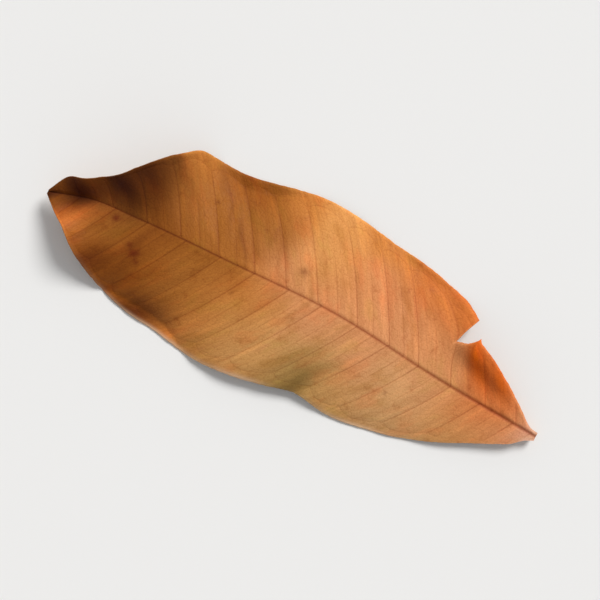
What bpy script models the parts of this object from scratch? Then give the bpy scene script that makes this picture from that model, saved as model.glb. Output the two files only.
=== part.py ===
"""One dried, leathery autumn leaf: a single elliptical sheet that has curled as it dried.

The leaf lies upper face up. Its base, with the stump of the broken leaf stalk, is at -X and its
tip at +X. Right (-Y) and left (+Y) are as seen from the base, looking towards the tip. Stations
along the leaf are fractions of its length, from 0 at the base to 1 at the tip.
"""
import bmesh
import bpy
import numpy as np

MM = 0.001

LENGTH = 120.0 * MM
BLADE_THICKNESS = 0.42 * MM
REST_BLEND = 0.35 * MM          # height over which the blade eases onto the surface it lies on

MIDRIB_DEPTH = 1.5 * MM         # blade and midrib together, at the base
MIDRIB_HALF_WIDTH = 1.0 * MM    # at the base
MIDRIB_TIP_SHARE = 0.25         # what is left of the midrib's width at the tip
MIDRIB_FLANK_SHARE = 0.75       # how much of the midrib's depth is left half-way to its edge
MIDRIB_TAPER_POWER = 0.8        # below 1, most of its depth is lost near the base
MIDRIB_LARGEST_SHARE = 0.8      # the most of a narrow half that the midrib's half-width takes up

ROWS_ALONG_LEAF = 54
ROWS_CROWDING = 0.55            # 0 spaces the rows evenly, and 1 crowds them most towards both ends
ROWS_NOTCH_BASE_SIDE = 7
ROWS_NOTCH_TIP_SIDE = 3
CLOSEST_ROWS = 0.5 * MM
CELLS_ACROSS_HALF = 9           # from the midrib's edge to the margin

LEAF_COLOUR = (0.48, 0.19, 0.06, 1.0)
LEAF_ROUGHNESS = 0.6

# Sideways course of the midrib: (station, mm towards the left).
MIDRIB_COURSE = [(0.0, 2.3), (0.2, 1.2), (0.44, -0.95), (0.64, -0.15), (0.84, 1.0), (0.92, 1.9), (1.0, 5.0)]
# Height of the upper face along the midrib: (station, mm above the surface that the leaf lies on).
MIDRIB_HEIGHT = [(0.0, 2.6), (0.15, 3.4), (0.35, 5.2), (0.55, 6.0), (0.75, 5.7), (0.88, 4.6), (1.0, 4.2)]

# Width of each half, measured over the curved blade from the midrib: (station, mm).
RIGHT_WIDTH = [(0.0, 0.9), (0.015, 1.1), (0.05, 3.9), (0.1, 7.9), (0.15, 11.4), (0.19, 13.1), (0.234, 15.6),
               (0.252, 18.1), (0.286, 20.1), (0.33, 20.8), (0.39, 21.0), (0.45, 21.7), (0.52, 22.5),
               (0.6, 22.2), (0.7, 20.7), (0.76, 19.8), (0.785, 19.3), (0.81, 17.3), (0.85, 14.0), (0.9, 8.9),
               (0.95, 5.9), (0.98, 4.2), (1.0, 0.35)]
LEFT_WIDTH = [(0.0, 1.0), (0.015, 2.0), (0.035, 4.2), (0.06, 6.0), (0.1, 8.7), (0.18, 14.0), (0.26, 18.1),
              (0.36, 21.0), (0.43, 20.2), (0.5, 22.2), (0.6, 23.6), (0.7, 23.1), (0.79, 21.6), (0.87, 15.5),
              (0.92, 11.2), (0.96, 6.1), (1.0, 0.35)]

# Slope at which each half leaves the midrib, and how far it turns on the way to the margin, both in
# radians and positive upwards: (station, radians).
RIGHT_FOLD = [(0.0, 0.05), (0.18, 0.02), (0.24, -0.08), (0.5, -0.08), (0.77, -0.04), (0.82, 0.2), (0.9, 0.6),
              (0.95, 0.7), (1.0, 0.3)]
RIGHT_CURL = [(0.0, 0.0), (0.12, -0.1), (0.2, -0.3), (0.36, -0.42), (0.55, -0.4), (0.76, -0.3), (0.82, 0.2),
              (0.88, 0.55), (0.94, 0.5), (1.0, 0.1)]
LEFT_FOLD = [(0.0, 0.0), (0.2, -0.08), (0.5, -0.06), (0.8, -0.06), (0.9, 0.1), (1.0, 0.2)]
LEFT_CURL = [(0.0, 0.0), (0.15, -0.3), (0.3, -0.5), (0.45, -0.3), (0.62, -0.35), (0.74, -0.8), (0.82, -0.8),
             (0.89, -0.1), (0.94, 0.6), (1.0, 0.3)]
# Extra slope of a steep band in the right half, from the base to the notch: (station, radians).
RIGHT_CREASE = [(0.0, 0.0), (0.05, 0.1), (0.12, 0.65), (0.19, 0.8), (0.225, 0.5), (0.25, 0.1), (0.275, 0.0),
                (0.32, 0.0), (1.0, 0.0)]
NO_CREASE = [(0.0, 0.0), (1.0, 0.0)]
CREASE_SHARE = 0.62             # how far out the steep band lies, as a share of the half's width
CREASE_HALF_SHARE = 0.2         # half the steep band's own width
CURL_POWER = 2.0                # above 1, most of the turn comes near the margin

# A bite torn out of the right margin near the base: shallow towards the base, steep towards the tip,
# where a lip of the margin leans over it.
NOTCH_STATION = 0.229
NOTCH_BASE_SIDE = 4.7 * MM
NOTCH_TIP_SIDE = 0.7 * MM
NOTCH_DEPTH = 5.8 * MM
NOTCH_LEAN = 5.4 * MM
NOTCH_LEAN_REACH = 4.4 * MM
NOTCH_HOLLOW_POWER = 0.8        # below 1, the sides of the bite are hollow


def smooth_curve(stations, where):
    """Values of a smooth curve through the (station, value) pairs."""
    at, value = np.array(stations).T
    slope = np.gradient(value, at)
    left = np.clip(np.searchsorted(at, where) - 1, 0, len(at) - 2)
    span = at[left + 1] - at[left]
    u = (where - at[left]) / span
    start = (1 + 2 * u) * (1 - u) ** 2 * value[left] + u * (1 - u) ** 2 * span * slope[left]
    end = u * u * (3 - 2 * u) * value[left + 1] - u * u * (1 - u) * span * slope[left + 1]
    return start + end


def row_stations():
    """Stations of the cross rows: closer together towards both ends, with extra ones in the notch."""
    even = np.linspace(0.0, 1.0, ROWS_ALONG_LEAF)
    crowded = 0.5 * (1.0 - np.cos(np.pi * even))
    rows = ROWS_CROWDING * crowded + (1.0 - ROWS_CROWDING) * even
    first = NOTCH_STATION - NOTCH_BASE_SIDE / LENGTH
    last = NOTCH_STATION + NOTCH_TIP_SIDE / LENGTH
    base_side = np.linspace(first, NOTCH_STATION, ROWS_NOTCH_BASE_SIDE)
    tip_side = np.linspace(NOTCH_STATION, last, ROWS_NOTCH_TIP_SIDE)[1:]
    gap = CLOSEST_ROWS / LENGTH
    outside = rows[(rows < first - gap) | (rows > last + gap)]
    return np.sort(np.concatenate([outside, base_side, tip_side]))


def notch_bite(station):
    """Width lost to the notch at each station."""
    offset = (station - NOTCH_STATION) * LENGTH
    side = np.where(offset < 0.0, NOTCH_BASE_SIDE, NOTCH_TIP_SIDE)
    return NOTCH_DEPTH * np.clip(1.0 - np.abs(offset) / side, 0.0, 1.0) ** NOTCH_HOLLOW_POWER


def notch_lean(station, share):
    """How far the right margin leans towards the base beside the notch."""
    offset = (station - NOTCH_STATION) * LENGTH / NOTCH_LEAN_REACH
    return NOTCH_LEAN * np.exp(-offset[:, None] ** 2) * share ** 2


def midrib_half_width(station):
    return MIDRIB_HALF_WIDTH * (1.0 - (1.0 - MIDRIB_TIP_SHARE) * station)


def half_blade(station, width, bite, fold, curl, crease):
    """One half's reach sideways and upwards from the midrib, and its share of the half's full width.

    All three are arrays of [row, column]. Each row is walked from the midrib to the margin in short
    straight steps, turning as it goes.
    """
    full = smooth_curve(width, station)[:, None] * MM
    midrib_edge = np.minimum(midrib_half_width(station)[:, None], MIDRIB_LARGEST_SHARE * full)
    even = np.linspace(0.0, 1.0, CELLS_ACROSS_HALF + 1)[None, :]
    past_midrib = midrib_edge + (full - bite[:, None] - midrib_edge) * even
    distance = np.hstack([0.0 * midrib_edge, 0.5 * midrib_edge, past_midrib])
    middle = 0.5 * (distance[:, 1:] + distance[:, :-1]) / full
    turn = smooth_curve(curl, station)[:, None] * middle ** CURL_POWER
    in_band = np.exp(-((middle - CREASE_SHARE) / CREASE_HALF_SHARE) ** 2)
    angle = smooth_curve(fold, station)[:, None] + turn + smooth_curve(crease, station)[:, None] * in_band
    step = np.diff(distance, axis=1)
    sideways = np.cumsum(np.cos(angle) * step, axis=1)
    upward = np.cumsum(np.sin(angle) * step, axis=1)
    return sideways, upward, distance[:, 1:] / full


def settle(height):
    """Press the lowest places flat where they meet the surface that the leaf lies on."""
    above = height - BLADE_THICKNESS
    eased = (above + REST_BLEND) ** 2 / (4.0 * REST_BLEND)
    lifted = np.where(above > REST_BLEND, above, np.where(above < -REST_BLEND, 0.0, eased))
    return BLADE_THICKNESS + lifted


def upper_face(station):
    """Points of the blade's upper face as an array of [row, column, xyz], from right to left."""
    no_bite = np.zeros_like(station)
    right = half_blade(station, RIGHT_WIDTH, notch_bite(station), RIGHT_FOLD, RIGHT_CURL, RIGHT_CREASE)
    left = half_blade(station, LEFT_WIDTH, no_bite, LEFT_FOLD, LEFT_CURL, NO_CREASE)
    right_y, right_z, share = right
    left_y, left_z, _ = left
    middle = np.zeros((len(station), 1))
    lean = np.hstack([notch_lean(station, share)[:, ::-1], middle, 0.0 * left_y])
    across = np.hstack([-right_y[:, ::-1], middle, left_y])
    rise = np.hstack([right_z[:, ::-1], middle, left_z])
    x = (station[:, None] - 0.5) * LENGTH - lean
    y = across + smooth_curve(MIDRIB_COURSE, station)[:, None] * MM
    z = settle(rise + smooth_curve(MIDRIB_HEIGHT, station)[:, None] * MM)
    points = np.stack([x, y, z], axis=-1)
    footprint = points[..., :2].reshape(-1, 2)
    points[..., :2] -= 0.5 * (footprint.min(axis=0) + footprint.max(axis=0))
    return points


def midrib_share(station, columns):
    """How much of the midrib's depth each point carries: most along its middle, none past its edges."""
    taper = 1.0 - station ** MIDRIB_TAPER_POWER
    share = np.zeros((len(station), columns))
    centre = columns // 2
    share[:, centre] = taper
    share[:, centre - 1] = MIDRIB_FLANK_SHARE * taper
    share[:, centre + 1] = MIDRIB_FLANK_SHARE * taper
    return share


def make_leaf_material():
    material = bpy.data.materials.new("dried_leaf")
    material.use_nodes = True
    shader = material.node_tree.nodes["Principled BSDF"]
    shader.inputs["Base Color"].default_value = LEAF_COLOUR
    shader.inputs["Roughness"].default_value = LEAF_ROUGHNESS
    return material


def make_leaf(collection):
    """The upper face as an open sheet of quads, which Solidify makes as thick as blade and midrib."""
    station = row_stations()
    points = upper_face(station)
    rows, columns = points.shape[:2]
    share = midrib_share(station, columns)

    sheet = bmesh.new()
    bmesh.ops.create_grid(sheet, x_segments=rows - 1, y_segments=columns - 1, size=1.0)
    weights = []
    for vertex in sheet.verts:
        row = round(0.5 * (vertex.co.x + 1.0) * (rows - 1))
        column = round(0.5 * (vertex.co.y + 1.0) * (columns - 1))
        vertex.co = points[row, column]
        weights.append(float(share[row, column]))
    mesh = bpy.data.meshes.new("leaf")
    sheet.to_mesh(mesh)
    sheet.free()
    mesh.shade_smooth()

    leaf = bpy.data.objects.new("leaf", mesh)
    collection.objects.link(leaf)
    leaf.data.materials.append(make_leaf_material())
    midrib = leaf.vertex_groups.new(name="midrib")
    for index, weight in enumerate(weights):
        midrib.add([index], weight, "REPLACE")

    solid = leaf.modifiers.new("thickness", "SOLIDIFY")
    solid.thickness = MIDRIB_DEPTH
    solid.offset = -1.0
    solid.vertex_group = midrib.name
    solid.thickness_vertex_group = BLADE_THICKNESS / MIDRIB_DEPTH


def main():
    for old in list(bpy.data.objects):
        bpy.data.objects.remove(old)
    collection = bpy.data.collections.new("autumn_leaf")
    bpy.context.scene.collection.children.link(collection)
    make_leaf(collection)


main()
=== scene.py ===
"""Looks of one dried autumn leaf: a fine mesh of its blade, both faces, with a procedural finish.

The mesh follows the same curved sheet as the CAD node and lies in its place. Stations along the leaf
are fractions of its length, from 0 at the base (-X) to 1 at the tip (+X). Right (-Y) and left (+Y) are
as seen from the base. Distances from the midrib are measured over the blade, negative on the right.
Lengths are in mm, apart from the finished mesh, the floor and the camera, which are in metres.
"""
import math

import bpy
import numpy as np
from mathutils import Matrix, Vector, noise


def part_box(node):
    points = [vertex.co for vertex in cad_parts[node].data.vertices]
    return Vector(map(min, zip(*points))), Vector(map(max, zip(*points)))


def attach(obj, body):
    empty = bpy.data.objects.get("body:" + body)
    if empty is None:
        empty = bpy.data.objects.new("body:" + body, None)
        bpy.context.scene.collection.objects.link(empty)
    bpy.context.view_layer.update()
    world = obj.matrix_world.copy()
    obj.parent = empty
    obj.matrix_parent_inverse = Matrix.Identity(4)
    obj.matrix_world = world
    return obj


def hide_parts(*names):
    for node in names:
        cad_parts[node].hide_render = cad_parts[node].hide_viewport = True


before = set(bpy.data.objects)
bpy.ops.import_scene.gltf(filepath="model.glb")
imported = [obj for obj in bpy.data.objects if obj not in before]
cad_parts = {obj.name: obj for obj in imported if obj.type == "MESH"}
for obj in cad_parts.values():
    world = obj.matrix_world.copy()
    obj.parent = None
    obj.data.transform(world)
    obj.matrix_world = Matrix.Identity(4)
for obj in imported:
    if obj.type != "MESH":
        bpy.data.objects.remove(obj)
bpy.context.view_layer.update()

MM = 0.001

# ---------------------------------------------------------------- shape, as in the CAD model

LENGTH = 120.0
BLADE_THICKNESS = 0.42
REST_BLEND = 0.35               # height over which the blade eases onto the surface it lies on

MIDRIB_DEPTH = 1.5              # blade and midrib together, at the base
MIDRIB_HALF_WIDTH = 1.0         # at the base
MIDRIB_TIP_SHARE = 0.25         # what is left of the midrib's width at the tip
MIDRIB_TAPER_POWER = 0.8        # below 1, most of its depth is lost near the base
MIDRIB_FLARE = 1.25             # how far its flanks reach, in half-widths

# Sideways course of the midrib: (station, mm towards the left).
MIDRIB_COURSE = [(0.0, 2.3), (0.2, 1.2), (0.44, -0.95), (0.64, -0.15), (0.84, 1.0), (0.92, 1.9), (1.0, 5.0)]
# Height of the upper face along the midrib: (station, mm above the surface that the leaf lies on).
MIDRIB_HEIGHT = [(0.0, 2.6), (0.15, 3.4), (0.35, 5.2), (0.55, 6.0), (0.75, 5.7), (0.88, 4.6), (1.0, 4.2)]

# Width of each half, measured over the curved blade from the midrib: (station, mm).
RIGHT_WIDTH = [(0.0, 0.9), (0.015, 1.1), (0.05, 3.9), (0.1, 7.9), (0.15, 11.4), (0.19, 13.1), (0.234, 15.6),
               (0.252, 18.1), (0.286, 20.1), (0.33, 20.8), (0.39, 21.0), (0.45, 21.7), (0.52, 22.5),
               (0.6, 22.2), (0.7, 20.7), (0.76, 19.8), (0.785, 19.3), (0.81, 17.3), (0.85, 14.0), (0.9, 8.9),
               (0.95, 5.9), (0.98, 4.2), (1.0, 0.35)]
LEFT_WIDTH = [(0.0, 1.0), (0.015, 2.0), (0.035, 4.2), (0.06, 6.0), (0.1, 8.7), (0.18, 14.0), (0.26, 18.1),
              (0.36, 21.0), (0.43, 20.2), (0.5, 22.2), (0.6, 23.6), (0.7, 23.1), (0.79, 21.6), (0.87, 15.5),
              (0.92, 11.2), (0.96, 6.1), (1.0, 0.35)]

# Slope at which each half leaves the midrib, and how far it turns on the way to the margin, both in
# radians and positive upwards: (station, radians).
RIGHT_FOLD = [(0.0, 0.05), (0.18, 0.02), (0.24, -0.08), (0.5, -0.08), (0.77, -0.04), (0.82, 0.2), (0.9, 0.6),
              (0.95, 0.7), (1.0, 0.3)]
RIGHT_CURL = [(0.0, 0.0), (0.12, -0.1), (0.2, -0.3), (0.36, -0.42), (0.55, -0.4), (0.76, -0.3), (0.82, 0.2),
              (0.88, 0.55), (0.94, 0.5), (1.0, 0.1)]
LEFT_FOLD = [(0.0, 0.0), (0.2, -0.08), (0.5, -0.06), (0.8, -0.06), (0.9, 0.1), (1.0, 0.2)]
LEFT_CURL = [(0.0, 0.0), (0.15, -0.3), (0.3, -0.5), (0.45, -0.3), (0.62, -0.35), (0.74, -0.8), (0.82, -0.8),
             (0.89, -0.1), (0.94, 0.6), (1.0, 0.3)]
# Extra slope of a steep band in the right half, from the base to the notch: (station, radians).
RIGHT_CREASE = [(0.0, 0.0), (0.05, 0.1), (0.12, 0.65), (0.19, 0.8), (0.225, 0.5), (0.25, 0.1), (0.275, 0.0),
                (0.32, 0.0), (1.0, 0.0)]
NO_CREASE = [(0.0, 0.0), (1.0, 0.0)]
CREASE_SHARE = 0.62             # how far out the steep band lies, as a share of the half's width
CREASE_HALF_SHARE = 0.2         # half the steep band's own width
CURL_POWER = 2.0                # above 1, most of the turn comes near the margin

# A bite torn out of the right margin near the base: shallow towards the base, steep towards the tip,
# where a lip of the margin leans over it.
NOTCH_STATION = 0.229
NOTCH_BASE_SIDE = 4.7           # how far along the leaf its side towards the base runs
NOTCH_TIP_SIDE = 0.7
NOTCH_DEPTH = 5.8
NOTCH_LEAN = 5.4                # how far the margin leans towards the base
NOTCH_LEAN_REACH = 4.4          # and how far to either side of the notch it does
NOTCH_HOLLOW_POWER = 0.8        # below 1, the sides of the bite are hollow

# ---------------------------------------------------------------- fine shape

ROWS_ALONG_LEAF = 330
ROWS_CROWDING = 0.55            # 0 spaces the rows evenly, and 1 crowds them most towards both ends
ROWS_NOTCH_BASE_SIDE = 18
ROWS_NOTCH_TIP_SIDE = 6
CLOSEST_ROWS = 0.15             # between the notch's rows and the next ones
CELLS_ACROSS_HALF = 64

RAGGED_MARGIN = 0.2             # how far the margin wanders in and out
TORN_MARGIN = 0.7               # the same where it is torn, beside the notch
RAGGED_SPACING = 2.2            # between one tooth of it and the next
RAGGED_FINE_SHARE = 0.3         # spacing of the finer wandering, over that of the coarser
RAGGED_FINE_STRENGTH = 0.5      # its size, over that of the coarser
RAGGED_FINE_SEED = 3.0          # added to the margin's own seed
RAGGED_BASE = (0.02, 0.06)      # stations between which the margin turns ragged
RAGGED_TIP = (0.95, 0.99)       # and those between which it ends
RIGHT_MARGIN_SEED = 11.0
LEFT_MARGIN_SEED = 23.0

SIDE_VEINS = 14
VEINS_BEFORE_BASE = 3           # spare ones, so that every place lies between two side veins
VEINS_AFTER_TIP = 1
FIRST_SIDE_VEIN = 5.5           # from the base, along the midrib
SIDE_VEIN_SPACING = 8.3
SIDE_VEIN_JITTER = 0.9
SIDE_VEIN_LEAN = 0.53           # mm towards the tip for each mm away from the midrib
SIDE_VEIN_BEND = 0.006          # and for each square mm
SLANT = math.hypot(1.0, SIDE_VEIN_LEAN)         # mm along a side vein for each mm away from the midrib
VEIN_GAP = SIDE_VEIN_SPACING / SLANT            # between side veins, at right angles to them
RIGHT_VEIN_SEED = 5
LEFT_VEIN_SEED = 8
SIDE_VEIN_FADE = (0.78, 0.97)   # shares of the half's width between which the side veins run out
SIDE_VEIN_LOSS = 0.5            # how much weaker they are at the margin than at the midrib
BETWEEN_VEIN_STRENGTH = 0.5     # of the thin vein between two side veins
BETWEEN_VEIN_FADE = (0.35, 0.75)        # shares between which it runs out
LOOP_STRENGTH = 0.45            # of the vein that joins the side veins near the margin
LOOP_SHARE = 0.9                # how far out it lies half-way between two of them
LOOP_DIP = 0.07                 # how much nearer the midrib it meets them
LOOP_START = (0.08, 0.2)        # stations over which the loops begin

SIDE_VEIN_HALF_WIDTH = 0.27     # of the drawn line
BETWEEN_VEIN_HALF_WIDTH = 0.2
LOOP_HALF_WIDTH = 0.22
MIDRIB_LINE_SHARE = 0.45        # half-width of the midrib's line, over the midrib's half-width
VEIN_SWELL_HALF_WIDTH = 0.5     # of the low swelling that a vein makes in the blade

GROOVE_DEPTH = 0.22             # midrib, on the upper face
GROOVE_HALF_WIDTH = 0.42
GROOVE_TAPER = 0.75             # how much of its depth is gone at the tip
CALM_SHARE = 0.25               # share of each half, beside the midrib, over which the relief below fades in
CALM_BASE = (0.01, 0.06)        # stations over which it fades in
SIDE_VEIN_SINK = 0.13           # side veins, on the upper face
SIDE_VEIN_RIDGE = 0.3           # side veins, on the lower face
QUILT = 0.24                    # how far the blade swells between side veins
QUILT_MARGIN_LOSS = 0.4         # how much less it does so at the margin
CRINKLE = 0.22                  # height of the slow unevenness of the dried blade
CRINKLE_SIZE = 11.0
CRINKLE_SEED = 1.0
FINE_CRINKLE = 0.07             # and of its small ripples
FINE_CRINKLE_SIZE = 2.4
FINE_CRINKLE_STRETCH = 0.35     # below 1, its ripples are long in the side veins' direction
FINE_CRINKLE_SEED = 2.0
EDGE_ROUNDING = 0.7             # mm of blade over which the margin thins
EDGE_THINNING = 0.3             # how much of the thickness each face loses there


def smooth_curve(stations, where):
    """Values of a smooth curve through the (station, value) pairs."""
    at, value = np.array(stations).T
    slope = np.gradient(value, at)
    left = np.clip(np.searchsorted(at, where) - 1, 0, len(at) - 2)
    span = at[left + 1] - at[left]
    u = (where - at[left]) / span
    start = (1 + 2 * u) * (1 - u) ** 2 * value[left] + u * (1 - u) ** 2 * span * slope[left]
    end = u * u * (3 - 2 * u) * value[left + 1] - u * u * (1 - u) * span * slope[left + 1]
    return start + end


def smooth_step(low, high, value):
    """0 below low, 1 above high, and an even rise between them."""
    u = np.clip((value - low) / (high - low), 0.0, 1.0)
    return u * u * (3.0 - 2.0 * u)


def bump(value, half_width):
    """1 where value is 0, falling off to either side."""
    return np.exp(-(value / half_width) ** 2)


def field_noise(x, y, size, seed):
    """Smooth noise between about -1 and 1 over two arrays of mm, with features of about the given size."""
    flat_x = (x / size).ravel()
    flat_y = (y / size).ravel()
    values = [noise.noise(Vector((a, b, seed))) for a, b in zip(flat_x, flat_y)]
    return np.array(values).reshape(x.shape)


def row_stations():
    """Stations of the cross rows: closer together towards both ends, with extra ones in the notch."""
    even = np.linspace(0.0, 1.0, ROWS_ALONG_LEAF)
    crowded = 0.5 * (1.0 - np.cos(np.pi * even))
    rows = ROWS_CROWDING * crowded + (1.0 - ROWS_CROWDING) * even
    first = NOTCH_STATION - NOTCH_BASE_SIDE / LENGTH
    last = NOTCH_STATION + NOTCH_TIP_SIDE / LENGTH
    base_side = np.linspace(first, NOTCH_STATION, ROWS_NOTCH_BASE_SIDE)
    tip_side = np.linspace(NOTCH_STATION, last, ROWS_NOTCH_TIP_SIDE)[1:]
    gap = CLOSEST_ROWS / LENGTH
    outside = rows[(rows < first - gap) | (rows > last + gap)]
    return np.sort(np.concatenate([outside, base_side, tip_side]))


def from_notch(station):
    """How far each station lies from the notch, in mm towards the tip."""
    return (station - NOTCH_STATION) * LENGTH


def notch_bite(station):
    """Width lost to the notch at each station."""
    offset = from_notch(station)
    side = np.where(offset < 0.0, NOTCH_BASE_SIDE, NOTCH_TIP_SIDE)
    return NOTCH_DEPTH * np.clip(1.0 - np.abs(offset) / side, 0.0, 1.0) ** NOTCH_HOLLOW_POWER


def notch_lean(station, share):
    """How far the right margin leans towards the base beside the notch."""
    return NOTCH_LEAN * bump(from_notch(station), NOTCH_LEAN_REACH)[:, None] * share ** 2


def ragged_edge(station, seed, torn):
    """Small loss of width along a margin, more of it where the margin is torn."""
    along = station * LENGTH
    level = np.zeros_like(along)
    slow = field_noise(along, level, RAGGED_SPACING, seed)
    fast = field_noise(along, level, RAGGED_FINE_SHARE * RAGGED_SPACING, seed + RAGGED_FINE_SEED)
    size = RAGGED_MARGIN + (TORN_MARGIN - RAGGED_MARGIN) * torn
    away_from_ends = smooth_step(*RAGGED_BASE, station) * (1.0 - smooth_step(*RAGGED_TIP, station))
    return size * away_from_ends * np.abs(slow + RAGGED_FINE_STRENGTH * fast)


def half_blade(station, width, loss, fold, curl, crease):
    """One half's reach sideways and upwards from the midrib, its distance over the blade and its share.

    All are arrays of [row, column]. Each row is walked from the midrib to the margin in short straight
    steps, turning as it goes. A point's share is its distance over the half's full width.
    """
    full = smooth_curve(width, station)[:, None]
    even = np.linspace(0.0, 1.0, CELLS_ACROSS_HALF + 1)[None, :]
    distance = (full - loss[:, None]) * even
    middle = 0.5 * (distance[:, 1:] + distance[:, :-1]) / full
    turn = smooth_curve(curl, station)[:, None] * middle ** CURL_POWER
    step_up = smooth_curve(crease, station)[:, None] * bump(middle - CREASE_SHARE, CREASE_HALF_SHARE)
    angle = smooth_curve(fold, station)[:, None] + turn + step_up
    step = np.diff(distance, axis=1)
    sideways = np.cumsum(np.cos(angle) * step, axis=1)
    upward = np.cumsum(np.sin(angle) * step, axis=1)
    return sideways, upward, distance[:, 1:], distance[:, 1:] / full


def settle(height):
    """Press the lowest places flat where they meet the surface that the leaf lies on."""
    above = height - BLADE_THICKNESS
    eased = (above + REST_BLEND) ** 2 / (4.0 * REST_BLEND)
    lifted = np.where(above > REST_BLEND, above, np.where(above < -REST_BLEND, 0.0, eased))
    return BLADE_THICKNESS + lifted


class Blade:
    """The leaf's upper face as arrays of [row, column], from the right margin to the left one."""

    RIGHT_SIGNS = (-1, 1, -1, -1)       # of the right half's reach sideways and upwards, distance, share

    def __init__(self):
        station = row_stations()
        near_notch = bump(from_notch(station), NOTCH_BASE_SIDE)
        right_loss = notch_bite(station) + ragged_edge(station, RIGHT_MARGIN_SEED, near_notch)
        left_loss = ragged_edge(station, LEFT_MARGIN_SEED, 0.0)
        right = half_blade(station, RIGHT_WIDTH, right_loss, RIGHT_FOLD, RIGHT_CURL, RIGHT_CREASE)
        left = half_blade(station, LEFT_WIDTH, left_loss, LEFT_FOLD, LEFT_CURL, NO_CREASE)
        on_midrib = np.zeros((len(station), 1))
        side, rise, distance, share = [
            np.hstack([sign * on_right[:, ::-1], on_midrib, on_left])
            for sign, on_right, on_left in zip(self.RIGHT_SIGNS, right, left)
        ]
        lean = np.where(share < 0.0, notch_lean(station, share), 0.0)
        x = (station[:, None] - 0.5) * LENGTH - lean
        y = side + smooth_curve(MIDRIB_COURSE, station)[:, None]
        z = settle(rise + smooth_curve(MIDRIB_HEIGHT, station)[:, None])
        self.station = np.repeat(station[:, None], distance.shape[1], axis=1)
        self.along = self.station * LENGTH
        self.distance = distance
        self.share = share
        self.points = np.stack([x, y, z], axis=-1)
        footprint = self.points[..., :2].reshape(-1, 2)
        self.points[..., :2] -= 0.5 * (footprint.min(axis=0) + footprint.max(axis=0))
        self.left_gap = distance[:, -1:] - distance
        self.edge_gap = np.minimum(distance - distance[:, :1], self.left_gap)

    def normals(self):
        """Unit vectors that stand out of the upper face."""
        along = np.gradient(self.points, axis=0)
        across = np.gradient(self.points, axis=1)
        normal = np.cross(along, across)
        return normal / np.linalg.norm(normal, axis=-1, keepdims=True)


def side_vein_start(along, out):
    """Where along the midrib a side vein sets out that passes through each point."""
    return along - SIDE_VEIN_LEAN * np.abs(out) - SIDE_VEIN_BEND * np.square(out)


def side_vein_starts(seed):
    """Places along the midrib where one half's side veins set out, with the spare ones."""
    number = np.arange(-VEINS_BEFORE_BASE, SIDE_VEINS + VEINS_AFTER_TIP)
    jitter = np.random.default_rng(seed).uniform(-1.0, 1.0, len(number)) * SIDE_VEIN_JITTER
    return FIRST_SIDE_VEIN + SIDE_VEIN_SPACING * number + jitter


class Veins:
    """Where the side veins run over a blade, and how strong each kind of vein is at each point.

    A point's turn counts the side veins up to it, so it is a whole number on each of them.
    """

    def __init__(self, blade):
        out = np.abs(blade.distance)
        share = np.abs(blade.share)
        self.across = side_vein_start(blade.along, out)
        self.outward = out * SLANT
        self.turn = np.zeros_like(out)
        on_right = blade.distance < 0.0
        for half, seed in ((on_right, RIGHT_VEIN_SEED), (~on_right, LEFT_VEIN_SEED)):
            starts = side_vein_starts(seed)
            self.turn[half] = np.interp(self.across[half], starts, np.arange(len(starts)))
        self.between = self.turn % 1.0
        loop_share = LOOP_SHARE - LOOP_DIP * (2.0 * self.between - 1.0) ** 2
        self.loop_gap = (share - loop_share) * smooth_curve(LEFT_WIDTH, blade.station)
        self.side_fade = (1.0 - smooth_step(*SIDE_VEIN_FADE, share)) * (1.0 - SIDE_VEIN_LOSS * share)
        self.thin_fade = BETWEEN_VEIN_STRENGTH * (1.0 - smooth_step(*BETWEEN_VEIN_FADE, share))
        self.loop_fade = LOOP_STRENGTH * smooth_step(*LOOP_START, blade.station)
        self.midrib_width = MIDRIB_HALF_WIDTH * (1.0 - (1.0 - MIDRIB_TIP_SHARE) * blade.station)

    def swell(self):
        """Height of the low swellings that all these veins make, from 0 to about 1."""
        off_thin = VEIN_GAP * np.abs(self.between - 0.5)
        off_side = 0.5 * VEIN_GAP - off_thin
        return (bump(off_side, VEIN_SWELL_HALF_WIDTH) * self.side_fade
                + bump(off_thin, VEIN_SWELL_HALF_WIDTH) * self.thin_fade
                + bump(self.loop_gap, VEIN_SWELL_HALF_WIDTH) * self.loop_fade)


def shaped_faces(blade, veins):
    """Upper and lower face points, in mm, with the blade's relief on them."""
    normal = blade.normals()
    share = np.abs(blade.share)
    inside = smooth_step(0.0, CALM_SHARE, share) * smooth_step(*CALM_BASE, blade.station)
    quilt = QUILT * np.sin(math.pi * veins.between) * (1.0 - QUILT_MARGIN_LOSS * share)
    slow = CRINKLE * field_noise(blade.along, blade.distance, CRINKLE_SIZE, CRINKLE_SEED)
    ripple_length = FINE_CRINKLE_STRETCH * veins.outward
    fine = FINE_CRINKLE * field_noise(veins.across, ripple_length, FINE_CRINKLE_SIZE, FINE_CRINKLE_SEED)
    body = blade.points + normal * (inside * (quilt + slow + fine))[..., None]

    swell = veins.swell() * inside
    thinning = EDGE_THINNING * BLADE_THICKNESS * (1.0 - smooth_step(0.0, EDGE_ROUNDING, blade.edge_gap))
    groove = GROOVE_DEPTH * bump(blade.distance, GROOVE_HALF_WIDTH) * (1.0 - GROOVE_TAPER * blade.station)
    sink = groove + SIDE_VEIN_SINK * swell + thinning
    upper = body - normal * sink[..., None]

    flank = np.clip(1.0 - (blade.distance / (MIDRIB_FLARE * veins.midrib_width)) ** 2, 0.0, 1.0)
    midrib = (MIDRIB_DEPTH - BLADE_THICKNESS) * (1.0 - blade.station ** MIDRIB_TAPER_POWER) * flank
    depth = BLADE_THICKNESS - thinning + midrib + SIDE_VEIN_RIDGE * swell
    lower = body - normal * depth[..., None]
    lower[..., 2] = np.maximum(lower[..., 2], 0.0)
    return upper, lower


# ---------------------------------------------------------------- ground colour, as sRGB fractions

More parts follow.
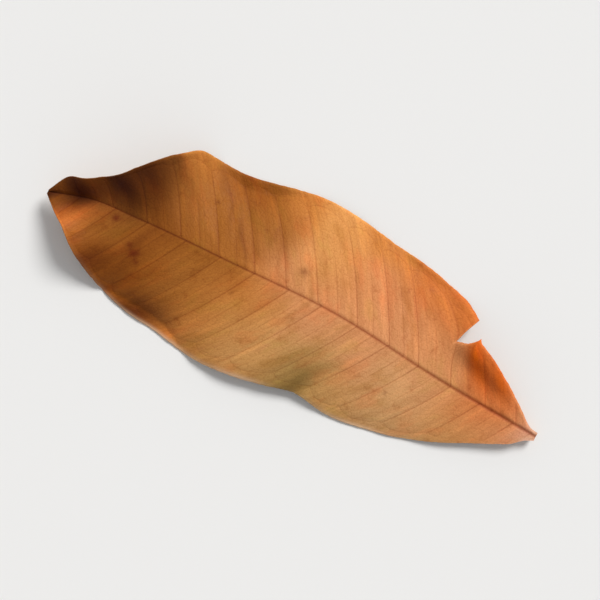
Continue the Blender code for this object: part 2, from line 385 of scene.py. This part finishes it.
SALMON = (0.85, 0.57, 0.37)
PALE_SALMON = (0.87, 0.60, 0.40)
PALE_PINK = (0.88, 0.68, 0.56)
PEACH = (0.86, 0.56, 0.34)
GOLDEN = (0.88, 0.61, 0.33)
ORANGE_TAN = (0.80, 0.50, 0.22)
DEEP_ORANGE = (0.76, 0.44, 0.17)
TAN = (0.84, 0.62, 0.37)
PALE_TAN = (0.87, 0.68, 0.47)
OLIVE_TAN = (0.76, 0.60, 0.35)
OLIVE = (0.42, 0.32, 0.12)
RUSSET = (0.66, 0.40, 0.15)
LIGHT_RUSSET = (0.71, 0.45, 0.19)
BROWN = (0.59, 0.33, 0.09)
DARK_BROWN = (0.27, 0.10, 0.01)
RED_BROWN = (0.38, 0.16, 0.02)
BURNT_ORANGE = (0.84, 0.37, 0.01)
BRIGHT_ORANGE = (0.85, 0.46, 0.19)
SPOT_BROWN = (0.42, 0.16, 0.04)

# Patches of colour on the upper face, which fill it between them. Their colours hold painted light and shade
# as well as the leaf's own colour, lighter where the blade slopes towards the light: (mm from the base, mm
# from the midrib, reach in mm, colour).
PATCHES = [
    (3, 0, 7, SALMON), (14, 4, 8, PEACH), (16, -4, 5, PEACH), (16, 10, 6, TAN), (28, 3, 9, PALE_SALMON),
    (28, -7, 7, PEACH), (30, -17, 6, DEEP_ORANGE), (30, 15, 8, TAN), (31, 17, 6, PALE_TAN),
    (33, 9, 7, PALE_TAN), (37, -19, 7, DEEP_ORANGE), (40, -8, 8, SALMON), (41, 15, 6, TAN),
    (42, 5, 8, PALE_SALMON), (45, -20, 6, ORANGE_TAN), (50, -19, 6, ORANGE_TAN), (50, -7, 8, PEACH),
    # The golden patches on the right half near the middle are partly painted light, where that half slopes
    # down towards the light.
    (50, 12, 6, OLIVE_TAN), (54, 18, 5, OLIVE_TAN), (56, 3, 7, PALE_SALMON), (58, -10, 7, GOLDEN),
    (59, -19, 6, GOLDEN), (63, 13, 7, TAN), (65, -4, 6, SALMON), (68, -18, 5, ORANGE_TAN),
    (70, 5, 7, ORANGE_TAN), (70, 17, 7, TAN), (72, -9, 6, RUSSET), (77, 16, 7, ORANGE_TAN),
    (78, -18, 6, BROWN), (80, -3, 8, RUSSET), (86, -18, 5, BROWN), (86, 9, 6, LIGHT_RUSSET),
    (88, -8, 7, RUSSET), (90, 3, 7, BROWN), (91, -13, 5, LIGHT_RUSSET), (93, -18, 4, ORANGE_TAN),
    (94, 11, 7, BROWN), (99, -5, 6, BROWN), (100, 3, 5, RUSSET), (105, 12, 5, BROWN), (107, 4, 4, RUSSET),
    (116, 1, 4, BROWN),
]

# Marks laid over the patches in this order: (mm from the base, mm from the midrib, reach along the side
# veins, reach across them, strength, colour).
MARKS = [
    # The burnt orange marks on the steep crease by the notch are painted shade and painted glow of light
    # through the blade.
    (20, -9, 9, 3.8, 1.0, BURNT_ORANGE), (13, -6, 6, 3.4, 0.9, BURNT_ORANGE),
    (28, -17, 6, 4.5, 0.6, BRIGHT_ORANGE), (36, -18, 6, 7.0, 0.5, BRIGHT_ORANGE),
    # The red brown mark at 92 mm beside the left margin is painted shade, where that margin droops away from
    # the light.
    (53, 19, 6, 2.8, 0.65, OLIVE), (56, 18, 7, 5.0, 0.25, OLIVE), (92, 21, 5, 5.0, 0.9, RED_BROWN),
    # The dark brown marks on the right half towards the tip are partly the tip's own browning and partly
    # painted shade, where that half curls up away from the light.
    (97, 8, 7, 2.4, 0.4, RED_BROWN), (106, 13, 5, 3.6, 0.8, RED_BROWN), (98, -15, 6, 4.0, 0.5, DARK_BROWN),
    (101, -11, 8, 5.0, 0.8, DARK_BROWN), (106, -7, 8, 5.5, 1.0, DARK_BROWN),
    # The bright orange mark at 113 mm is partly painted light, where the left half near the tip turns
    # towards the light.
    (114, -3, 6, 5.0, 1.0, DARK_BROWN), (113, 6, 5, 3.4, 0.6, BRIGHT_ORANGE),
    (119, 1, 3, 2.0, 0.9, DARK_BROWN), (70, -9, 8, 0.9, 0.35, BROWN), (77, -5, 4, 0.7, 0.4, RED_BROWN),
    (60, 9, 6, 0.8, 0.4, PALE_SALMON), (47, 8, 6, 1.0, 0.3, PALE_SALMON), (84, -12, 7, 0.8, 0.3, RED_BROWN),
    (38, -11, 7, 0.8, 0.3, DEEP_ORANGE), (1, 1, 3, 3.0, 0.8, PALE_PINK),
]

# Small spots: (mm from the base, mm from the midrib, radius in mm, strength).
SPOTS = [
    (104, 2, 0.9, 0.9), (97, 7.4, 1.1, 0.9), (98.5, 6, 0.7, 0.6), (95.6, 9, 0.7, 0.6), (62, -5, 0.9, 0.6),
    (86, -11, 0.6, 0.5), (34, 9, 0.5, 0.4), (74, 6, 0.5, 0.4),
]
SPOT_RAGGEDNESS = 0.5           # how uneven their outlines are
SPOT_GRAIN = 1.1                # mm, size of the unevenness
SPOT_SEED = 41.0

COLOUR_DRIFT = 2.4              # how far the edges of patches and marks wander
COLOUR_DRIFT_SIZE = 9.0
COLOUR_DRIFT_SEEDS = (31.0, 37.0)
LEAST_WEIGHT = 1e-6             # of the colour that shows where no patch reaches

# Where the left margin carries a painted highlight, a pale lip as if it caught the light: (mm from the base,
# reach in mm).
LIP_HIGHLIGHTS = [(38, 8), (84, 14), (64, 5)]
LIP_HIGHLIGHT_WIDTH = 0.8

# Pale rim along the margin, partly a dried edge and partly painted highlight; beside the notch, the torn
# edge's pale rim is painted highlight.
DRY_AND_LIT_EDGE_WIDTH = 0.45
TORN_EDGE_HIGHLIGHT_WIDTH = 0.9           # beside the notch
TORN_HIGHLIGHT_REACH = 1.3                # how far from the notch, over the length of its base side


def linear(colour):
    """Scene-linear values of an sRGB colour."""
    values = np.array(colour)
    return np.where(values <= 0.04045, values / 12.92, ((values + 0.055) / 1.055) ** 2.4)


def patch_colour(along, out):
    """Blend of the patches, each weighted by how near it is."""
    total = np.full(along.shape, LEAST_WEIGHT)
    mixed = total[..., None] * linear(ORANGE_TAN)
    for place, side, reach, patch in PATCHES:
        weight = bump(np.hypot(along - place, out - side), reach)
        total += weight
        mixed += weight[..., None] * linear(patch)
    return mixed / total[..., None]


def ground_colour(blade):
    """The patches with the marks and spots laid over them, as an array of [row, column, rgb]."""
    along, out = [
        values + COLOUR_DRIFT * field_noise(blade.along, blade.distance, COLOUR_DRIFT_SIZE, seed)
        for values, seed in zip((blade.along, blade.distance), COLOUR_DRIFT_SEEDS)
    ]
    ground = patch_colour(along, out)
    start = side_vein_start(along, out)
    for place, side, reach, width, strength, mark in MARKS:
        off_vein = (start - side_vein_start(place, side)) / width
        weight = strength * bump(np.hypot(off_vein, (out - side) / reach), 1.0)
        ground += weight[..., None] * (linear(mark) - ground)
    ragged = 1.0 + SPOT_RAGGEDNESS * field_noise(blade.along, blade.distance, SPOT_GRAIN, SPOT_SEED)
    for place, side, radius, strength in SPOTS:
        away = ragged * np.hypot(blade.along - place, blade.distance - side)
        weight = strength * bump(away, radius)
        ground += weight[..., None] * (linear(SPOT_BROWN) - ground)
    return ground


def dry_and_lit_edge(blade):
    """How pale the margin is at each point, partly dried edge and partly painted highlight: at the margin,
    and further in beside the notch, where the torn edge's pale rim is painted highlight.
    """
    torn = bump(from_notch(blade.station), TORN_HIGHLIGHT_REACH * NOTCH_BASE_SIDE) * (blade.share < 0.0)
    dryness_and_light = bump(blade.edge_gap, DRY_AND_LIT_EDGE_WIDTH) + torn * bump(blade.edge_gap, TORN_EDGE_HIGHLIGHT_WIDTH)
    return np.clip(dryness_and_light, 0.0, 1.0)


def lip_highlight(blade):
    """How much the painted highlight on the left margin's pale lip shows at each point."""
    reach = sum(bump(blade.along - place, reach) for place, reach in LIP_HIGHLIGHTS)
    return np.clip(reach * bump(blade.left_gap, LIP_HIGHLIGHT_WIDTH), 0.0, 1.0)


# ---------------------------------------------------------------- mesh

UV_WIDTH = 128.0                # mm that the bake map is wide
UPPER_FACE_AT = (0.5, 0.25)     # middle of each face in the bake map
LOWER_FACE_AT = (0.5, 0.75)
CUT_EDGE_WIDTH = 0.6            # mm that the cut edge takes up in the bake map
# How the mesh stores a number, a vector and a colour, by how many values each has: (type, field).
POINT_LAYERS = {1: ("FLOAT", "value"), 3: ("FLOAT_VECTOR", "vector"), 4: ("FLOAT_COLOR", "color")}


def grid_faces(rows, columns):
    """Quads of a grid of points, as an array of four point numbers each."""
    corner = np.arange(rows * columns).reshape(rows, columns)
    quads = np.stack([corner[:-1, :-1], corner[1:, :-1], corner[1:, 1:], corner[:-1, 1:]], axis=-1)
    return quads.reshape(-1, 4)


def outline_points(rows, columns):
    """Point numbers round a grid's border, in order."""
    corner = np.arange(rows * columns).reshape(rows, columns)
    return np.concatenate([corner[:-1, 0], corner[-1, :-1], corner[:0:-1, -1], corner[0, :0:-1]])


def leaf_faces(rows, columns):
    """Quads of the upper face, the lower face below it and the cut edge between them."""
    below = rows * columns
    upper = grid_faces(rows, columns)
    lower = upper[:, ::-1] + below
    border = outline_points(rows, columns)
    following = np.roll(border, -1)
    cut_edge = np.stack([following, border, border + below, following + below], axis=-1)
    return np.concatenate([upper, lower, cut_edge])


def set_bake_map(mesh, blade, faces, count):
    """Lay both faces out side by side, at true size, with the cut edge as a thin strip round the first."""
    flat = np.stack([blade.along - 0.5 * LENGTH, blade.distance], axis=-1).reshape(-1, 2)
    upper = flat / UV_WIDTH + UPPER_FACE_AT
    lower = flat / UV_WIDTH * (1.0, -1.0) + LOWER_FACE_AT
    reach = np.linalg.norm(flat, axis=1, keepdims=True)
    outward = flat / np.maximum(reach, CUT_EDGE_WIDTH)
    strip = upper + CUT_EDGE_WIDTH * outward / UV_WIDTH
    on_upper = faces < count
    is_cut_edge = on_upper.any(axis=1) & ~on_upper.all(axis=1)
    other = np.where(is_cut_edge[:, None, None], strip[faces % count], lower[faces % count])
    place = np.where(on_upper[..., None], upper[faces % count], other)
    layer = mesh.uv_layers.new(name="OFBake")
    layer.data.foreach_set("uv", np.ascontiguousarray(place, dtype=np.float32).ravel())


def set_values(mesh, name, values):
    """Store a row of values for each point of the mesh, which the material reads by name."""
    kind, field = POINT_LAYERS[values.shape[-1]]
    layer = mesh.attributes.new(name, kind, "POINT")
    layer.data.foreach_set(field, np.ascontiguousarray(values, dtype=np.float32).ravel())


def set_finish_values(mesh, blade, veins):
    """Store what the material reads. Only "under" is not the same on both faces: it tells them apart."""
    zero = np.zeros_like(blade.along)
    count = zero.size
    values = {
        "ground": np.dstack([ground_colour(blade), zero + 1.0]),
        "leaf_at": np.dstack([blade.along, blade.distance, zero]),
        "vein_at": np.dstack([veins.across, veins.outward, zero]),
        "vein_turn": veins.turn,
        "loop_gap": veins.loop_gap,
        "side_fade": veins.side_fade,
        "thin_fade": veins.thin_fade,
        "loop_fade": veins.loop_fade,
        "midrib": bump(blade.distance, MIDRIB_LINE_SHARE * veins.midrib_width),
        # Pale rim along the margin, partly dried edge and partly painted highlight.
        "dry_and_lit_edge": dry_and_lit_edge(blade),
        # Painted highlight on the left margin's pale lip.
        "lip_highlight": lip_highlight(blade),
    }
    for name, grid in values.items():
        one_face = grid.reshape(count, -1)
        set_values(mesh, name, np.concatenate([one_face, one_face]))
    set_values(mesh, "under", np.repeat([0.0, 1.0], count)[:, None])


def make_leaf_mesh(blade, veins, scale, centre):
    """One closed mesh of the leaf, in metres, about the given centre."""
    upper, lower = shaped_faces(blade, veins)
    rows, columns = blade.along.shape
    faces = leaf_faces(rows, columns)
    points = np.concatenate([upper.reshape(-1, 3), lower.reshape(-1, 3)]) * MM * scale
    points[:, :2] += centre
    mesh = bpy.data.meshes.new("autumn_leaf")
    mesh.from_pydata(points.tolist(), [], faces.tolist())
    mesh.shade_smooth()
    set_bake_map(mesh, blade, faces, rows * columns)
    set_finish_values(mesh, blade, veins)
    return mesh


# ---------------------------------------------------------------- materials

# Uneven patterns: (places that it follows, features per mm, detail, roughness, stretch, shift). A stretch
# below 1 draws the features out along the side veins.
PATTERNS = {
    "streaks": ("vein_at", 0.5, 4.0, 0.6, 0.14, (0.0, 0.0)),
    "mottle": ("leaf_at", 0.26, 5.0, 0.62, 1.0, (0.0, 0.0)),
    "blotch": ("vein_at", 0.2, 3.0, 0.55, 0.4, (40.0, 9.0)),
    "grain": ("leaf_at", 2.6, 4.0, 0.65, 1.0, (0.0, 0.0)),
    "hue": ("vein_at", 0.16, 3.0, 0.6, 0.55, (3.0, 71.0)),
}
# Nets of small veins: (cells per mm, stretch as above, width of a line over the size of a cell).
NETS = {"net": (0.85, 0.6, 0.1), "fine_net": (2.4, 0.85, 0.14)}
CELL_RANDOMNESS = 0.9

# Tints of the upper face, in this order: (pattern, value where it starts, value where it is full, strength,
# what red, green and blue are multiplied by).
UPPER_TINTS = [
    ("hue", 0.52, 0.68, 1.0, (1.05, 0.93, 0.9)),
    ("hue", 0.46, 0.3, 1.0, (0.95, 1.02, 0.92)),
    ("streaks", 0.4, 0.72, 0.34, (0.711, 0.570, 0.448)),
    ("streaks", 0.5, 0.28, 0.42, (1.35, 1.3, 1.22)),
    ("blotch", 0.52, 0.7, 0.5, (0.711, 0.638, 0.393)),
    ("mottle", 0.45, 0.25, 0.6, (0.674, 0.507, 0.367)),
    ("grain", 0.6, 0.3, 0.35, (0.538, 0.393, 0.274)),
]
# Lines on the upper face, over the tints: (line, strength, what red, green and blue are multiplied by).
UPPER_LINES = [
    ("net_line", 0.16, (0.570, 0.393, 0.274)),
    ("fine_net_line", 0.12, (0.604, 0.420, 0.296)),
    ("vein", 0.5, (0.538, 0.330, 0.233)),
    ("midrib", 0.8, (0.420, 0.214, 0.147)),
]

# The lower face is paler and duller, and its veins are lighter than the blade.
BACK_DARK = (0.60, 0.41, 0.26)
BACK_LIGHT = (0.70, 0.52, 0.35)
BACK_GROUND_SHARE = 0.3         # how much of the upper face's ground colour shows through
BACK_TINT = ("blotch", 0.5, 0.7, 0.6, (0.674, 0.538, 0.393))        # as in UPPER_TINTS
# Lines on the lower face: (line, strength, colour).
BACK_LINES = [
    ("net_line", 0.17, (0.50, 0.34, 0.20)),
    ("vein", 0.85, (0.83, 0.65, 0.45)),
    ("midrib", 0.85, (0.82, 0.60, 0.40)),
]

# Pale rim along the margin: partly dried edge, partly painted highlight.
DRY_AND_LIT_EDGE_STRENGTH = 0.7
DRY_AND_LIT_EDGE_TINT = (1.3, 1.45, 1.7)
# Painted highlight on the left margin's pale lip.
LIP_HIGHLIGHT_STRENGTH = 0.75
LIP_HIGHLIGHT_COLOUR = (0.91, 0.76, 0.62)

MOTTLE_RANGE = (0.3, 0.7)       # values between which the mottling changes roughness and the back's colour
ROUGHNESS = (0.5, 0.62)         # of the upper face, from its smooth places to its rough ones
BACK_EXTRA_ROUGHNESS = 0.2
NET_EXTRA_ROUGHNESS = 0.08
SPECULAR_LEVEL = 0.1            # the dry blade is nearly matt

RELIEF_DEPTH = 0.35             # mm that a height of 1 stands for
RELIEF_STRENGTH = 0.6
CELL_RIM = 0.2                  # share of a cell over which it rises from the net
NET_HEIGHT = 0.5                # of the cells between the lines of the net
FINE_NET_HEIGHT = 0.2
GRAIN_HEIGHT = 0.06
STREAK_HEIGHT = 0.12
VEIN_HEIGHT = (-0.12, 0.3)      # on the upper face and on the lower one

FLOOR_COLOUR = (0.86, 0.85, 0.83)
FLOOR_ROUGHNESS = 0.8


class Shader:
    """Short ways to add and join the nodes of one Principled material."""

    def __init__(self, name):
        self.material = bpy.data.materials.new(name)
        self.material.use_nodes = True
        self.nodes = self.material.node_tree.nodes
        self.links = self.material.node_tree.links
        self.principled = self.nodes["Principled BSDF"]

    def put(self, socket, value):
        """Join value to the socket if it is another node's output, or else set it."""
        if isinstance(value, bpy.types.NodeSocket):
            self.links.new(value, socket)
        else:
            socket.default_value = value

    def attribute(self, name, output="Fac"):
        """What the mesh stores under this name."""
        node = self.nodes.new("ShaderNodeAttribute")
        node.attribute_name = name
        return node.outputs[output]

    def texture(self, kind, at, scale, stretch, shift=(0.0, 0.0)):
        """A texture node of some kind, measured at the stretched and shifted places."""
        place = self.nodes.new("ShaderNodeMapping")
        place.inputs["Scale"].default_value = (1.0, stretch, 1.0)
        place.inputs["Location"].default_value = (*shift, 0.0)
        node = self.nodes.new(kind)
        node.inputs["Scale"].default_value = scale
        self.put(place.inputs["Vector"], at)
        self.put(node.inputs["Vector"], place.outputs["Vector"])
        return node

    def noise(self, at, scale, detail, roughness, stretch, shift):
        """Smooth noise, around 0.5."""
        node = self.texture("ShaderNodeTexNoise", at, scale, stretch, shift)
        node.inputs["Detail"].default_value = detail
        node.inputs["Roughness"].default_value = roughness
        return node.outputs["Fac"]

    def cells(self, at, scale, stretch):
        """Distance to the edge of the nearest irregular cell."""
        node = self.texture("ShaderNodeTexVoronoi", at, scale, stretch)
        node.voronoi_dimensions = "2D"
        node.feature = "DISTANCE_TO_EDGE"
        node.inputs["Randomness"].default_value = CELL_RANDOMNESS
        return node.outputs["Distance"]

    def math(self, operation, first, second=0.0):
        """Result of an operation on one or two values."""
        node = self.nodes.new("ShaderNodeMath")
        node.operation = operation
        self.put(node.inputs[0], first)
        self.put(node.inputs[1], second)
        return node.outputs["Value"]

    def times(self, first, second):
        """Product of two values."""
        return self.math("MULTIPLY", first, second)

    def total(self, first, *others):
        """Sum of all the values."""
        result = first
        for value in others:
            result = self.math("ADD", result, value)
        return result

    def fit(self, value, low, high, to_low=0.0, to_high=1.0):
        """Carry value from the range low..high to to_low..to_high, held at both ends."""
        node = self.nodes.new("ShaderNodeMapRange")
        node.interpolation_type = "SMOOTHSTEP"
        self.put(node.inputs["Value"], value)
        node.inputs["From Min"].default_value = low
        node.inputs["From Max"].default_value = high
        node.inputs["To Min"].default_value = to_low
        node.inputs["To Max"].default_value = to_high
        return node.outputs["Result"]

    def mix(self, factor, first, second, blend="MIX"):
        """Colour between first and second, or second blended over first."""
        node = self.nodes.new("ShaderNodeMix")
        node.data_type = "RGBA"
        node.blend_type = blend
        self.put(node.inputs["Factor"], factor)
        self.put(node.inputs["A"], first)
        self.put(node.inputs["B"], second)
        return node.outputs["Result"]

    def tint(self, factor, first, multipliers):
        """Colour with its red, green and blue multiplied, as far as factor says."""
        return self.mix(factor, first, (*multipliers, 1.0), "MULTIPLY")


def colour(srgb):
    """An sRGB colour as a colour socket takes it."""
    return (*linear(srgb).tolist(), 1.0)


def vein_lines(shader):
    """Side veins, the thin ones between them and the loops near the margin, as lines from 0 to 1."""
    off_side = shader.math("PINGPONG", shader.attribute("vein_turn"), 0.5)
    off_loop = shader.math("ABSOLUTE", shader.attribute("loop_gap"))
    side = shader.fit(off_side, 0.0, SIDE_VEIN_HALF_WIDTH / VEIN_GAP, 1.0, 0.0)
    thin = shader.fit(off_side, 0.5 - BETWEEN_VEIN_HALF_WIDTH / VEIN_GAP, 0.5)
    loop = shader.fit(off_loop, 0.0, LOOP_HALF_WIDTH, 1.0, 0.0)
    side = shader.times(side, shader.attribute("side_fade"))
    thin = shader.times(thin, shader.attribute("thin_fade"))
    loop = shader.times(loop, shader.attribute("loop_fade"))
    return shader.math("MAXIMUM", side, shader.math("MAXIMUM", thin, loop))


def leaf_patterns(shader):
    """All the patterns, nets and lines of the leaf, by name."""
    found = {name: shader.attribute(name) for name in ("under", "midrib", "dry_and_lit_edge", "lip_highlight")}
    found["vein"] = vein_lines(shader)
    places = {name: shader.attribute(name, "Vector") for name in ("leaf_at", "vein_at")}
    for name, (place, *settings) in PATTERNS.items():
        found[name] = shader.noise(places[place], *settings)
    for name, (scale, stretch, line_width) in NETS.items():
        found[name] = shader.cells(places["vein_at"], scale, stretch)
        found[name + "_line"] = shader.fit(found[name], 0.0, line_width, 1.0, 0.0)
    return found


def upper_colour(shader, found, ground):
    """The ground colour with the upper face's tints and lines."""
    result = ground
    for name, start, full, strength, multipliers in UPPER_TINTS:
        result = shader.tint(shader.fit(found[name], start, full, 0.0, strength), result, multipliers)
    for name, strength, multipliers in UPPER_LINES:
        result = shader.tint(shader.times(found[name], strength), result, multipliers)
    return result


def lower_colour(shader, found, ground):
    """The lower face's own colour, with a little of the ground colour, a tint and the pale lines."""
    result = shader.mix(shader.fit(found["mottle"], *MOTTLE_RANGE), colour(BACK_DARK), colour(BACK_LIGHT))
    result = shader.mix(BACK_GROUND_SHARE, result, ground)
    name, start, full, strength, multipliers = BACK_TINT
    result = shader.tint(shader.fit(found[name], start, full, 0.0, strength), result, multipliers)
    for name, strength, line in BACK_LINES:
        result = shader.mix(shader.times(found[name], strength), result, colour(line))
    return result


def small_relief(shader, found):
    """Normal of the relief that is too small for the mesh."""
    vein_height = shader.fit(found["under"], 0.0, 1.0, *VEIN_HEIGHT)
    height = shader.total(
        shader.times(shader.math("MINIMUM", found["net"], CELL_RIM), NET_HEIGHT),
        shader.times(shader.math("MINIMUM", found["fine_net"], CELL_RIM), FINE_NET_HEIGHT),
        shader.times(found["grain"], GRAIN_HEIGHT),
        shader.times(found["streaks"], STREAK_HEIGHT),
        shader.times(found["vein"], vein_height),
    )
    node = shader.nodes.new("ShaderNodeBump")
    node.inputs["Strength"].default_value = RELIEF_STRENGTH
    node.inputs["Distance"].default_value = RELIEF_DEPTH * MM
    shader.put(node.inputs["Height"], height)
    return node.outputs["Normal"]


def make_leaf_material():
    """Dry, leathery blade: patchy ground colour with painted light and shade in it, streaks and mottling,
    nets of small veins, and a pale margin that is partly painted highlight.
    """
    shader = Shader("dried_leaf")
    found = leaf_patterns(shader)
    ground = shader.attribute("ground", "Color")

    upper = upper_colour(shader, found, ground)
    lower = lower_colour(shader, found, ground)
    base = shader.mix(found["under"], upper, lower)
    # Pale rim along the margin: partly dried edge, partly painted highlight.
    base = shader.tint(shader.times(found["dry_and_lit_edge"], DRY_AND_LIT_EDGE_STRENGTH), base, DRY_AND_LIT_EDGE_TINT)
    # Painted highlight on the left margin's pale lip.
    base = shader.mix(shader.times(found["lip_highlight"], LIP_HIGHLIGHT_STRENGTH), base, colour(LIP_HIGHLIGHT_COLOUR))
    roughness = shader.total(
        shader.fit(found["mottle"], *MOTTLE_RANGE, *ROUGHNESS),
        shader.times(found["under"], BACK_EXTRA_ROUGHNESS),
        shader.times(found["net_line"], NET_EXTRA_ROUGHNESS),
    )

    surface = shader.principled.inputs
    shader.put(surface["Base Color"], base)
    shader.put(surface["Roughness"], roughness)
    shader.put(surface["Normal"], small_relief(shader, found))
    surface["Specular IOR Level"].default_value = SPECULAR_LEVEL
    return shader.material


def make_floor_material():
    """Plain, pale and matt."""
    shader = Shader("pale_floor")
    shader.principled.inputs["Base Color"].default_value = (*FLOOR_COLOUR, 1.0)
    shader.principled.inputs["Roughness"].default_value = FLOOR_ROUGHNESS
    return shader.material


# ---------------------------------------------------------------- stage, light and camera

FLOOR_SIZE = 6.0
LEAF_AXIS_IN_VIEW = 152.0       # degrees from the view's right to the leaf's base-to-tip direction
CAMERA_LENS = 100.0
CAMERA_DISTANCE = 0.37
KEY_AZIMUTH = -107.0            # degrees round from +X
KEY_ELEVATION = 42.0
KEY_STRENGTH = 2.75
KEY_SOFTNESS = 26.0             # degrees that the light is wide, as seen from the leaf
HORIZON_LIGHT = 0.84
OVERHEAD_LIGHT = 0.34
SURROUND_RISE = (0.12, 0.6)     # how far up the surround changes from one to the other, as sines
SURROUND_COLOUR = (0.97, 0.98, 1.0)


def make_floor():
    """A wide plane at the height that the leaf lies at."""
    bpy.ops.mesh.primitive_plane_add(size=FLOOR_SIZE, location=(0.0, 0.0, 0.0))
    floor = bpy.context.active_object
    floor.name = "floor"
    floor.data.materials.append(make_floor_material())


def make_key_light():
    """Soft light from the view's upper right."""
    azimuth = math.radians(KEY_AZIMUTH)
    elevation = math.radians(KEY_ELEVATION)
    level = math.cos(elevation)
    towards = Vector((level * math.cos(azimuth), level * math.sin(azimuth), math.sin(elevation)))
    data = bpy.data.lights.new("key_light", "SUN")
    data.energy = KEY_STRENGTH
    data.angle = math.radians(KEY_SOFTNESS)
    key = bpy.data.objects.new("key_light", data)
    key.rotation_euler = towards.to_track_quat("Z", "Y").to_euler()
    bpy.context.scene.collection.objects.link(key)


def make_surround():
    """A pale surround that is darker overhead."""
    world = bpy.data.worlds.new("pale_surround")
    world.use_nodes = True
    nodes = world.node_tree.nodes
    links = world.node_tree.links
    direction = nodes.new("ShaderNodeTexCoord")
    axes = nodes.new("ShaderNodeSeparateXYZ")
    rise = nodes.new("ShaderNodeMapRange")
    rise.interpolation_type = "SMOOTHSTEP"
    rise.inputs["From Min"].default_value, rise.inputs["From Max"].default_value = SURROUND_RISE
    rise.inputs["To Min"].default_value = HORIZON_LIGHT
    rise.inputs["To Max"].default_value = OVERHEAD_LIGHT
    links.new(direction.outputs["Generated"], axes.inputs["Vector"])
    links.new(axes.outputs["Z"], rise.inputs["Value"])
    links.new(rise.outputs["Result"], nodes["Background"].inputs["Strength"])
    nodes["Background"].inputs["Color"].default_value = (*SURROUND_COLOUR, 1.0)
    bpy.context.scene.world = world


def make_camera(centre):
    """Straight above the leaf, turned so that the leaf lies with its tip up to the left."""
    data = bpy.data.cameras.new("camera")
    data.lens = CAMERA_LENS
    camera = bpy.data.objects.new("camera", data)
    camera.location = (*centre, CAMERA_DISTANCE)
    camera.rotation_euler = (0.0, 0.0, math.radians(-LEAF_AXIS_IN_VIEW))
    bpy.context.scene.collection.objects.link(camera)
    bpy.context.scene.camera = camera


# ---------------------------------------------------------------- assembly


def make_leaf(length, centre):
    """The leaf in the place of the CAD node, and as long as the node is."""
    blade = Blade()
    veins = Veins(blade)
    scale = length / (np.ptp(blade.points[..., 0]) * MM)
    leaf = bpy.data.objects.new("autumn_leaf", make_leaf_mesh(blade, veins, scale, centre))
    bpy.context.scene.collection.objects.link(leaf)
    leaf.data.materials.append(make_leaf_material())
    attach(leaf, "root")
    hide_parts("leaf")


def main():
    """Make the leaf and its stage."""
    low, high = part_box("leaf")
    centre = [0.5 * (low[0] + high[0]), 0.5 * (low[1] + high[1])]
    make_leaf(high[0] - low[0], centre)
    make_floor()
    make_key_light()
    make_surround()
    make_camera(centre)
    bpy.context.scene.view_settings.view_transform = "Standard"


main()
